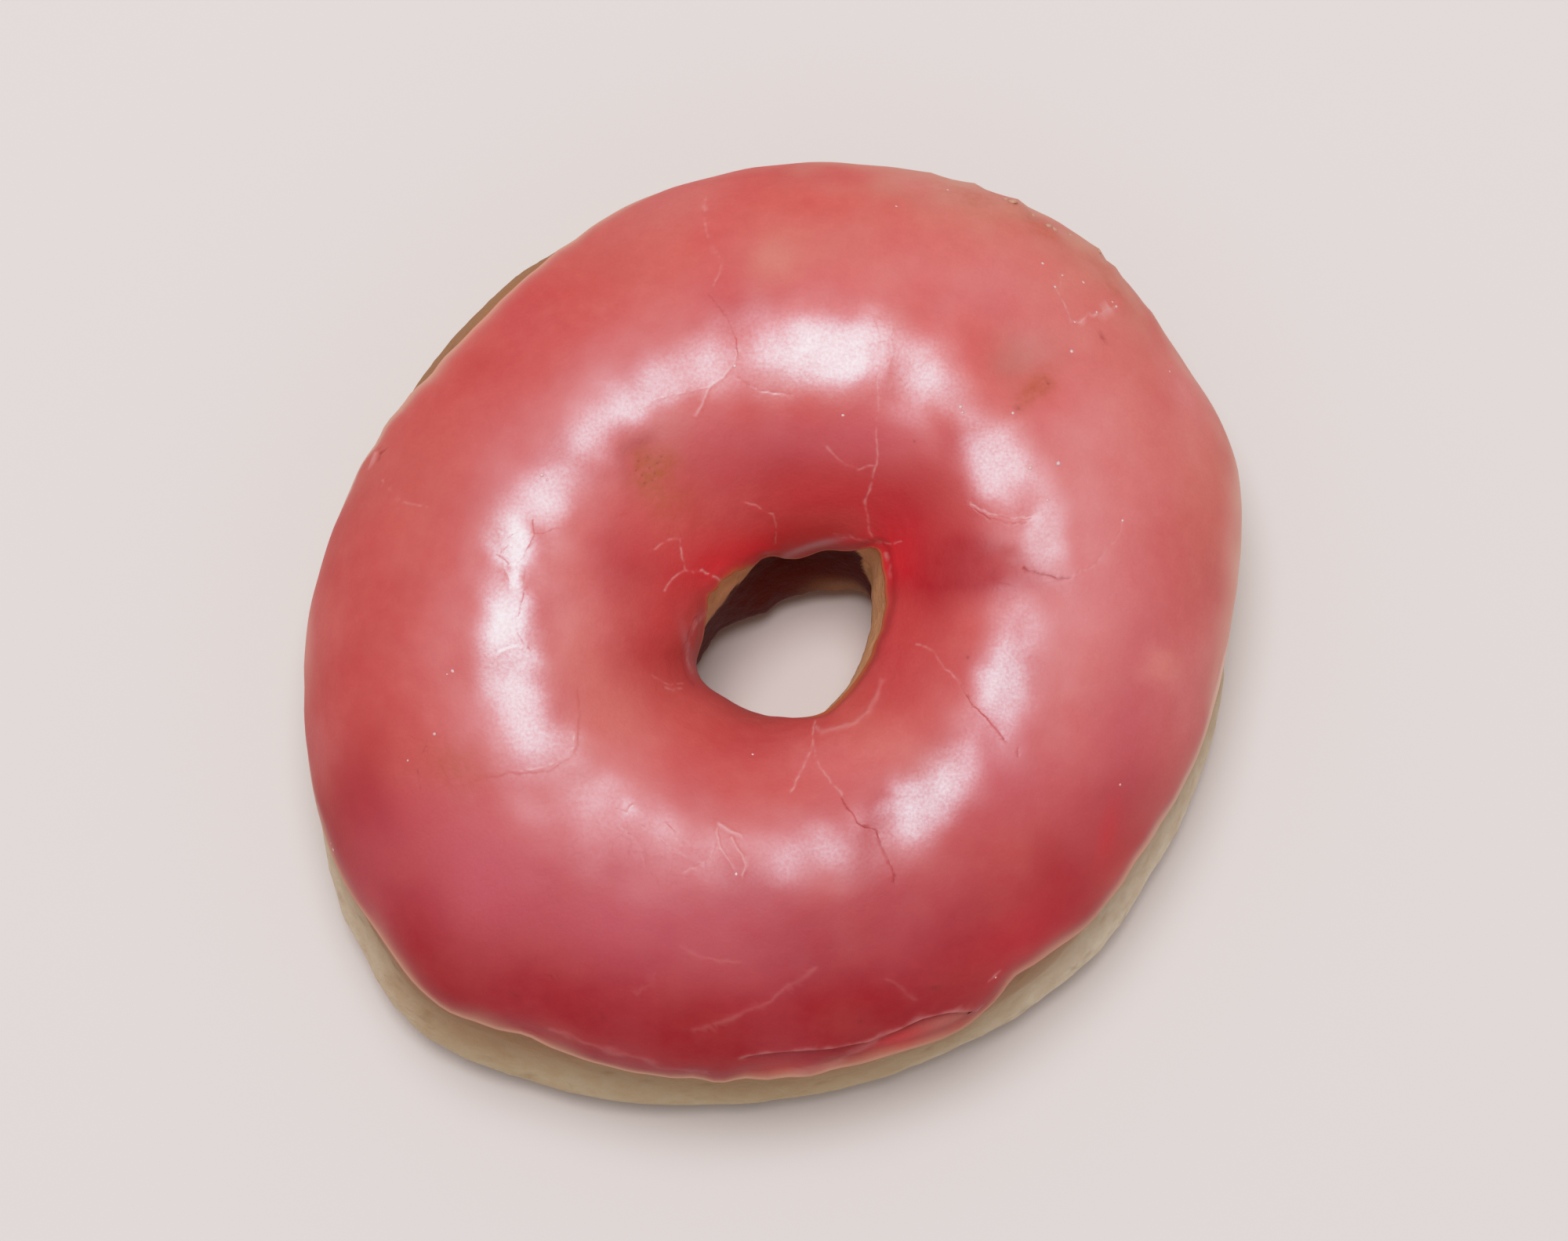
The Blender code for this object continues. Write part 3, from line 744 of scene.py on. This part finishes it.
def icing_marks(points, at, degrees, share):
    """How much of each colour and of the gloss the icing has at these points."""
    right, down = at.T
    edge_mm = np.minimum(share, 1 - share) * ICING_WIDTH
    outside = share < 0.5
    uneven = 1 + 0.25 * ripple(points, 5.0, 7)
    thin_reach = around(THIN_REACH, degrees) * uneven
    lip_reach = around(LIP_REACH, degrees) * uneven
    rim = around(RIM_PALE, degrees) * fade(edge_mm, thin_reach + 1.5)
    warped = at + 4 * np.stack([ripple(points, 2.5, 8), ripple(points, 2.5, 9)], axis=-1)
    from_line = np.abs(np.mod(degrees, 360) - FOOT_LINE[0])
    foot_line = 0.25 + 0.75 * smooth_step(1 - from_line / FOOT_LINE[1])
    veil = VEIL * hill(180 * share, 90, 34) * (1 + 0.4 * ripple(points, 4.0, 10))
    more_light = 0.3 + 0.7 * smooth_step((right - MORE_LIGHT_FROM) / 300)
    marks = {
        "deep": patches(at, DEEP) + 0.12 * ripple(points, 9.0, 3),
        "rose": patches(at, ROSE) + 0.12 * ripple(points, 11.0, 4),
        "peach": patches(at, PEACH) + 0.06 * ripple(points, 8.0, 5),
        "stain": patches(warped, STAIN),
        "gloss": veil + patches(warped, SHEEN) + patches(warped, GLOSS, 2.8),
        # painted highlights along the lip
        "painted_gleam": patches(at, PAINTED_GLEAMS),
        # clear red, and painted light round the hole
        "crimson_and_light": patches(at, CRIMSON_AND_LIGHT),
        # whitish bloom, and painted sheen beside the highlights
        "milky": patches(warped, MILKY_AND_SHEEN) * (1 + 0.15 * ripple(points, 6.0, 18)),
        "greyish": patches(warped, GREYISH),
        "crazed": patches(warped, CRAZED),
        # painted shade low in the picture and painted light high in it
        "painted_shade": smooth_step((down - SHADE_FROM) / 250),
        "bright": smooth_step((LIGHT_TO - down) / 300) * more_light,
        "edge": np.where(outside, 0.85 * foot_line, 0.1) * hill(edge_mm, 0, 0.4),
        "thin": np.where(outside, 0.9, 0) * fade(edge_mm, thin_reach),
        "rim": outside * rim + patches(at, RIM_SIDES),
        "lip": np.where(outside, 0, 1) * fade(edge_mm, lip_reach),
    }
    for name in ("thin", "rim", "lip"):
        marks[name] = np.where(edge_mm < 0, SHARP_STOP, marks[name])
    return marks


def dough_piece(finish):
    """The whole fried ring, browned above and below its pale waist."""
    down = np.linspace(0, 1, DOUGH_SIDE_POINTS)[1:]
    in_the_hole = 180 + np.degrees(np.arcsin(down ** (THROAT_FULLNESS / 2)))
    outside = 360 - np.degrees(np.arcsin(down[::-1][1:] ** (FOOT_FULLNESS / 2)))
    turns = [*np.linspace(0, 180, DOUGH_TOP_POINTS), *in_the_hole, *outside]
    mould = spun_ring([(turn, 0) for turn in turns], DOUGH_STEPS)
    degrees, turn, _ = plain_places(mould)
    points, normal = dough_skin(degrees, turn), skin_normal(degrees, turn)
    height = points[:, 2]
    free = smooth_step(height / 2.0)
    wrinkle = ripple(points * (1, 1, 2.2), 3.0, 11)
    relief = DOUGH_SWELL * ripple(points, 7.0, 12) + DOUGH_WRINKLES * wrinkle
    relief = relief + DOUGH_GRAIN * ripple(points, 1.2, 13) - DOUGH_SINK
    points = points + normal * (relief * free)[:, None]
    band = PALE_HEIGHT + 1.2 * ripple(points, 14.0, 14) + 0.5 * ripple(points, 4.0, 15)
    inside = smooth_step((turn - 130) / 40)
    # Below a ragged height the hole's wall gets painted shade, lightened by painted light on its lit
    # side.
    lit_side = hill(degrees, *LIT_SIDE) * smooth_step((8 - height) / 3)
    ragged = around(THROAT_SHADE_TOP, degrees) + 0.2 * ripple(points, 2.0, 19) - height
    blur = 0.9 + 4 * hill(degrees, *SOFT_BORDER)
    throat_shade = inside * smooth_step(0.5 + (ragged - 0.4) / blur) * (1 - 0.4 * lit_side)
    # Just below the icing's foot the dough is browner: partly its crust, partly painted shade under
    # the icing.
    icing_foot = WAIST + around(ICING_FOOT, degrees)
    below_icing = (icing_foot - height) / (icing_foot - BELLY_HEIGHT)
    above_foot = smooth_step((height - 2.4) / 2.0 + 0.25 * ripple(points, 4.0, 23))
    marks = {
        "pale": hill(height, band, PALE_WIDTH) * above_foot * (1 - inside),
        "foot_brown_and_shade": 0.85 * smooth_step(1.15 - 1.1 * below_icing) * (1 - inside),
        "brown": smooth_step((4.6 - height) / 4.0) + 0.2 * ripple(points, 5.0, 16),
        "spots": smooth_step(ripple(points, 1.6, 17) - 0.9),
        "strip": inside,
        "upper": smooth_step((height - 15.5) / 2.5) * (1 - inside),
        "throat_shade": throat_shade,
        "cream": np.clip(around(CREAM_SIDE, degrees), 0, 1) * above_foot * (1 - inside),
    }
    return piece_from("fried_ring", mould, points, marks, finish, "dough")


def new_finish(name, roughness):
    """A material with its shader, and the tree that holds them."""
    made = bpy.data.materials.new(name)
    made.use_nodes = True
    shader = made.node_tree.nodes["Principled BSDF"]
    shader.inputs["Roughness"].default_value = roughness
    return made, made.node_tree, shader


def mark_of(tree, name):
    """The value of one of a piece's own marks."""
    node = tree.nodes.new("ShaderNodeAttribute")
    node.attribute_name = name
    return node.outputs["Fac"]


def blend_colour(tree, share, under, over):
    """Colour under, with colour over laid on it by share. Each is a socket or a plain value."""
    node = tree.nodes.new("ShaderNodeMix")
    node.data_type = "RGBA"
    for name, value in (("Factor", share), ("A", under), ("B", over)):
        kind = "VALUE" if name == "Factor" else "RGBA"
        target = next(s for s in node.inputs if s.name == name and s.type == kind and s.enabled)
        if isinstance(value, bpy.types.NodeSocket):
            tree.links.new(value, target)
        else:
            target.default_value = value if name == "Factor" else (*value, 1)
    return next(s for s in node.outputs if s.type == "RGBA")


def lay_on(tree, colour, layers):
    """Lays colours over this one in turn, each by its share, a mark's name or a socket."""
    for share, over in layers:
        if isinstance(share, str):
            share = mark_of(tree, share)
        colour = blend_colour(tree, share, colour, over)
    return colour


def sum_of(tree, kind, first, second):
    """A Math node of this kind on two sockets or numbers."""
    node = tree.nodes.new("ShaderNodeMath")
    node.operation = kind
    for target, value in zip(node.inputs, (first, second)):
        if isinstance(value, bpy.types.NodeSocket):
            tree.links.new(value, target)
        else:
            target.default_value = value
    return node.outputs[0]


def times(tree, first, second):
    """The product of two sockets or numbers."""
    return sum_of(tree, "MULTIPLY", first, second)


def give(node, values):
    """Sets these sockets of a node to plain values."""
    for name, value in values.items():
        node.inputs[name].default_value = value


def stretch(tree, value, low, high, start=0.0, end=1.0):
    """This value, with low to high made to run from start to end."""
    node = tree.nodes.new("ShaderNodeMapRange")
    give(node, {"From Min": low, "From Max": high, "To Min": start, "To Max": end})
    tree.links.new(value, node.inputs["Value"])
    return node.outputs["Result"]


def new_group(name, takes, gives):
    """A node group that takes and gives these numbers, with its input and output nodes."""
    group = bpy.data.node_groups.new(name, "ShaderNodeTree")
    for way, sockets in (("INPUT", takes), ("OUTPUT", gives)):
        for socket in sockets:
            group.interface.new_socket(socket, in_out=way, socket_type="NodeSocketFloat")
    return group, group.nodes.new("NodeGroupInput"), group.nodes.new("NodeGroupOutput")


def mottle_group():
    """Fine and coarse unevenness that both dough and icing have: a mask and a height."""
    group, given, result = new_group("mottle", ("Coarse", "Fine"), ("Mask", "Grain"))
    place = group.nodes.new("ShaderNodeTexCoord").outputs["Object"]
    for size, out in (("Coarse", "Mask"), ("Fine", "Grain")):
        noise = group.nodes.new("ShaderNodeTexNoise")
        give(noise, {"Detail": 3, "Roughness": 0.55})
        group.links.new(place, noise.inputs["Vector"])
        group.links.new(given.outputs[size], noise.inputs["Scale"])
        group.links.new(stretch(group, noise.outputs["Fac"], 0.32, 0.68), result.inputs[out])
    return group


def crazing_group():
    """A net of fine, broken lines, as on a skin that has dried and shrunk."""
    group, given, result = new_group("crazing", ("Size",), ("Lines",))
    place = group.nodes.new("ShaderNodeTexCoord").outputs["Object"]
    drift = group.nodes.new("ShaderNodeTexNoise")
    give(drift, {"Scale": 1 / (2.5 * MM), "Detail": 2})
    group.links.new(place, drift.inputs["Vector"])
    pushed = group.nodes.new("ShaderNodeVectorMath")
    pushed.operation = "MULTIPLY_ADD"
    group.links.new(drift.outputs["Color"], pushed.inputs[0])
    pushed.inputs[1].default_value = (1.6 * MM,) * 3
    group.links.new(place, pushed.inputs[2])
    cells = group.nodes.new("ShaderNodeTexVoronoi")
    cells.feature = "DISTANCE_TO_EDGE"
    group.links.new(pushed.outputs["Vector"], cells.inputs["Vector"])
    group.links.new(given.outputs["Size"], cells.inputs["Scale"])
    line = stretch(group, cells.outputs["Distance"], 0.0, 0.09, 1.0, 0.0)
    broken = stretch(group, drift.outputs["Fac"], 0.42, 0.60)
    group.links.new(times(group, line, broken), result.inputs["Lines"])
    return group


def place_group(tree, group, **across):
    """The outputs of this group in a material, with its patterns so many millimetres across."""
    node = tree.nodes.new("ShaderNodeGroup")
    node.node_tree = group
    give(node, {name: 1 / (size * MM) for name, size in across.items()})
    return node.outputs


def raise_by(tree, shader, height, distance, strength):
    """Bumps the surface by a height, in millimetres."""
    bump = tree.nodes.new("ShaderNodeBump")
    give(bump, {"Distance": distance * MM, "Strength": strength})
    tree.links.new(height, bump.inputs["Height"])
    tree.links.new(bump.outputs["Normal"], shader.inputs["Normal"])


# Colours, as a shader takes them
CORAL = (0.56, 0.078, 0.066)
# Painted light high in the picture and painted shade low in it
LIT_CORAL = (0.66, 0.088, 0.068)
SHADED_ROSE = (0.37, 0.026, 0.040)
DEEP_RED = (0.36, 0.006, 0.012)
# Clear red, and painted light round the hole
CRIMSON_AND_LIGHT_RED = (0.70, 0.020, 0.030)
ROSE_PINK = (0.52, 0.095, 0.115)
# Whitish bloom, and painted sheen beside the highlights
MILKY_SHEEN_PINK = (0.70, 0.215, 0.195)
PEACH_PINK = (0.66, 0.21, 0.15)
GREY_PINK = (0.46, 0.18, 0.13)
STAIN_BROWN = (0.40, 0.075, 0.012)
RIM_SALMON = (0.72, 0.38, 0.24)
RIM_PEACH = (0.92, 0.60, 0.46)
THIN_TAN = (0.56, 0.29, 0.18)
# Painted highlight along the lip
PAINTED_GLEAM_LILAC = (0.64, 0.38, 0.42)
CRACK_PALE = (0.76, 0.38, 0.34)
CRACK_DARK = (0.26, 0.018, 0.015)
FLAKE_PALE = (0.90, 0.62, 0.58)
# Partly browner crust, partly painted shade under the icing's foot
FOOT_BROWN_AND_SHADE = (0.31, 0.14, 0.055)
CRUST_GOLD = (0.44, 0.22, 0.075)
CRUST_BROWN = (0.22, 0.085, 0.025)
UPPER_CRUST = (0.54, 0.25, 0.12)
WAIST_TAN = (0.51, 0.37, 0.18)
DOUGH_CREAM = (0.87, 0.77, 0.57)
STRIP_TAN = (0.84, 0.50, 0.23)
# Painted shade on the hole's wall
THROAT_SHADE_BROWN = (0.105, 0.010, 0.005)
THIN_ORANGE = (0.56, 0.15, 0.04)


def icing_finish(mottling, crazing):
    """Waxy coral icing, dull in its deep places and glossy in patches along its crown."""
    made, tree, shader = new_finish("set strawberry icing", DULL)
    coarse, grain = place_group(tree, mottling, Coarse=4.5, Fine=0.30)
    cloud, speck = place_group(tree, mottling, Coarse=1.6, Fine=0.7)
    crazed = times(tree, mark_of(tree, "crazed"), place_group(tree, crazing, Size=1.7)["Lines"])
    spotted = sum_of(tree, "ADD", times(tree, speck, 0.7), 0.45)
    # These layers include painted light and shade, painted sheen and painted highlights on the lip.
    colour = lay_on(tree, CORAL, (
        ("bright", LIT_CORAL), ("painted_shade", SHADED_ROSE), (times(tree, coarse, 0.16), PEACH_PINK),
        (times(tree, cloud, 0.16), DEEP_RED), ("deep", DEEP_RED), ("rose", ROSE_PINK),
        ("crimson_and_light", CRIMSON_AND_LIGHT_RED), ("milky", MILKY_SHEEN_PINK), ("peach", PEACH_PINK),
        ("greyish", GREY_PINK), (times(tree, mark_of(tree, "stain"), spotted), STAIN_BROWN),
        (times(tree, grain, 0.10), DEEP_RED), (times(tree, cloud, 0.12), CORAL),
        (times(tree, crazed, 0.20), CRACK_DARK), ("thin", THIN_TAN), ("rim", RIM_PEACH),
        ("lip", THIN_ORANGE), ("edge", RIM_SALMON), ("painted_gleam", PAINTED_GLEAM_LILAC), ("pale", CRACK_PALE),
        ("dark", CRACK_DARK),
    ))
    tree.links.new(colour, shader.inputs["Base Color"])
    gloss = mark_of(tree, "gloss")
    roughness = sum_of(tree, "SUBTRACT", DULL, times(tree, gloss, DULL - GLOSSY))
    tree.links.new(roughness, shader.inputs["Roughness"])
    speckle = sum_of(tree, "ADD", times(tree, grain, 0.5), 0.75)
    speckle = sum_of(tree, "SUBTRACT", speckle, times(tree, crazed, 0.35))
    tree.links.new(times(tree, gloss, speckle), shader.inputs["Coat Weight"])
    give(shader, {
        "Coat Roughness": 0.39, "Coat IOR": 2.2, "IOR": 1.36, "Subsurface Weight": 0.25,
        "Subsurface Radius": (1.0, 0.35, 0.25), "Subsurface Scale": 1.5 * MM,
    })
    height = sum_of(tree, "ADD", times(tree, cloud, 3.0), grain)
    raise_by(tree, shader, sum_of(tree, "SUBTRACT", height, crazed), 0.010, 1.0)
    return made


def dough_finish(mottling, crazing):
    """Golden crust, pale side, tan rim in the hole, and painted shade on the hole's wall below."""
    made, tree, shader = new_finish("fried dough", 0.6)
    cloud, grain = place_group(tree, mottling, Coarse=2.2, Fine=0.5)
    creased = times(tree, mark_of(tree, "brown"), place_group(tree, crazing, Size=2.6)["Lines"])
    colour = lay_on(tree, CRUST_GOLD, (
        ("brown", CRUST_BROWN), ("upper", UPPER_CRUST), ("pale", WAIST_TAN),
        # the band under the icing's foot is partly painted shade
        ("cream", DOUGH_CREAM), ("foot_brown_and_shade", FOOT_BROWN_AND_SHADE), ("strip", STRIP_TAN),
        (times(tree, mark_of(tree, "spots"), 0.3), CRUST_BROWN),
        (times(tree, cloud, 0.30), CRUST_GOLD), (times(tree, creased, 0.5), CRUST_BROWN),
        # painted shade on the hole's wall
        ("throat_shade", THROAT_SHADE_BROWN),
    ))
    tree.links.new(colour, shader.inputs["Base Color"])
    give(shader, {
        "IOR": 1.2, "Subsurface Weight": 0.12, "Subsurface Radius": (1.0, 0.6, 0.3),
        "Subsurface Scale": 1.5 * MM,
    })
    height = sum_of(tree, "SUBTRACT", sum_of(tree, "ADD", cloud, grain), creased)
    raise_by(tree, shader, height, 0.12, 0.5)
    return made


def flake_finish(mottling):
    """Pale, dry flakes of icing, and tan ones along the rim."""
    made, tree, shader = new_finish("flaked icing", 0.35)
    mask, grain = place_group(tree, mottling, Coarse=0.5, Fine=0.15)
    colour = lay_on(tree, CRACK_PALE, ((mask, FLAKE_PALE), ("tan", THIN_TAN)))
    tree.links.new(colour, shader.inputs["Base Color"])
    raise_by(tree, shader, grain, 0.02, 0.4)
    return made


def flakes_piece(coat, finish):
    """Loose flakes that lie where the picture shows them, each pressed a little into the icing."""
    mesh = coat.data
    tree = BVHTree.FromPolygons([v.co for v in mesh.vertices], [p.vertices for p in mesh.polygons])
    eye, back, up = picture_view()
    draw = np.random.default_rng(FLAKE_SEED)
    mould = bmesh.new()
    tan = []
    for x, y, size in FLAKES + RIM_FLAKES:
        on_rim = (x, y, size) in RIM_FLAKES
        right, down = (x - PICTURE[0] / 2) * PIXEL, (y - PICTURE[1] / 2) * PIXEL
        aim = -back * DISTANCE + right * np.array([1, 0, 0]) - down * up
        hit, normal, _, _ = tree.ray_cast(Vector(eye * MM), Vector(aim).normalized())
        if hit is None:
            continue
        radius = (RIM_FLAKE_RADIUS if on_rim else FLAKE_RADIUS) * size * MM
        made = bmesh.ops.create_icosphere(mould, subdivisions=1, radius=radius)["verts"]
        for vert in made:
            vert.co *= draw.uniform(0.7, 1.2)
            vert.co.z *= 0.4
        spin = Matrix.Rotation(draw.uniform(0, 2 * math.pi), 3, "Z")
        turn = normal.to_track_quat("Z", "Y").to_matrix() @ spin
        for vert in made:
            vert.co = turn @ vert.co + hit - normal * 0.02 * MM
        tan += [float(on_rim)] * len(made)
    bmesh.ops.recalc_face_normals(mould, faces=mould.faces)
    points = np.array([vert.co for vert in mould.verts]) / MM
    return piece_from("icing_flakes", mould, points, {"tan": np.array(tan)}, finish, None)


def soft_lamp(name, toward, distance, size, power, colour):
    """A soft round lamp, in metres, that looks at the doughnut from this direction."""
    lamp = bpy.data.lights.new(name, "AREA")
    lamp.shape = "DISK"
    lamp.size = size
    lamp.energy = power
    lamp.color = colour
    away = Vector(toward).normalized()
    made = add_object(name, lamp)
    made.location = away * distance
    made.rotation_euler = away.to_track_quat("Z", "Y").to_euler()


# How bright light is shown: (light, shown), unchanged up to the second, and white at the brightest
BRIGHTEST = 2.4
SHOULDER = ((0.3, 0.3), (0.62, 0.62), (0.8, 0.745), (1.0, 0.835), (1.25, 0.90), (1.6, 0.96))


def light_the_set():
    soft_lamp(
        "main lamp",
        toward=(-0.05, 0.19, 1.0),
        distance=1.2,
        size=0.62,
        power=10.3,
        colour=(0.99, 0.98, 1.09),
    )
    world = bpy.data.worlds.new("soft room")
    world.use_nodes = True
    give(world.node_tree.nodes["Background"], {"Color": (0.92, 0.94, 1.0, 1), "Strength": 0.45})
    bpy.context.scene.world = world


def set_the_exposure():
    """Plain colours, with a soft shoulder so that bright gloss turns milky before it turns white."""
    view = bpy.context.scene.view_settings
    view.view_transform = "Standard"
    view.use_curve_mapping = True
    mapping = view.curve_mapping
    mapping.white_level = (BRIGHTEST,) * 3
    mapping.extend = "HORIZONTAL"
    curve = mapping.curves[3]
    curve.points[0].location = (0, 0)
    curve.points[1].location = (1, 1)
    for light, shown in SHOULDER:
        curve.points.new(light / BRIGHTEST, shown)
    mapping.update()


def lay_the_floor():
    mould = bmesh.new()
    bmesh.ops.create_grid(mould, x_segments=1, y_segments=1, size=1.5)
    mesh = bpy.data.meshes.new("floor")
    mould.to_mesh(mesh)
    mould.free()
    made, _, shader = new_finish("plain floor", 0.8)
    shader.inputs["Base Color"].default_value = (0.76, 0.675, 0.60, 1)
    mesh.materials.append(made)
    floor = add_object("floor", mesh)


def place_the_camera():
    camera = bpy.data.cameras.new("camera")
    camera.sensor_width = SENSOR
    camera.lens = SENSOR * DISTANCE / (PIXEL * PICTURE[0])
    camera.clip_start = 0.01
    eye, back, up = picture_view()
    turn = Matrix([(1, 0, 0), tuple(up), tuple(back)]).transposed()
    made = add_object("camera", camera)
    made.matrix_world = Matrix.Translation(eye * MM) @ turn.to_4x4()
    bpy.context.scene.camera = made


place_the_camera()
light_the_set()
set_the_exposure()
lay_the_floor()
mottling = mottle_group()
crazing = crazing_group()
dough_piece(dough_finish(mottling, crazing))
coat = icing_piece(icing_finish(mottling, crazing))
flakes_piece(coat, flake_finish(mottling))
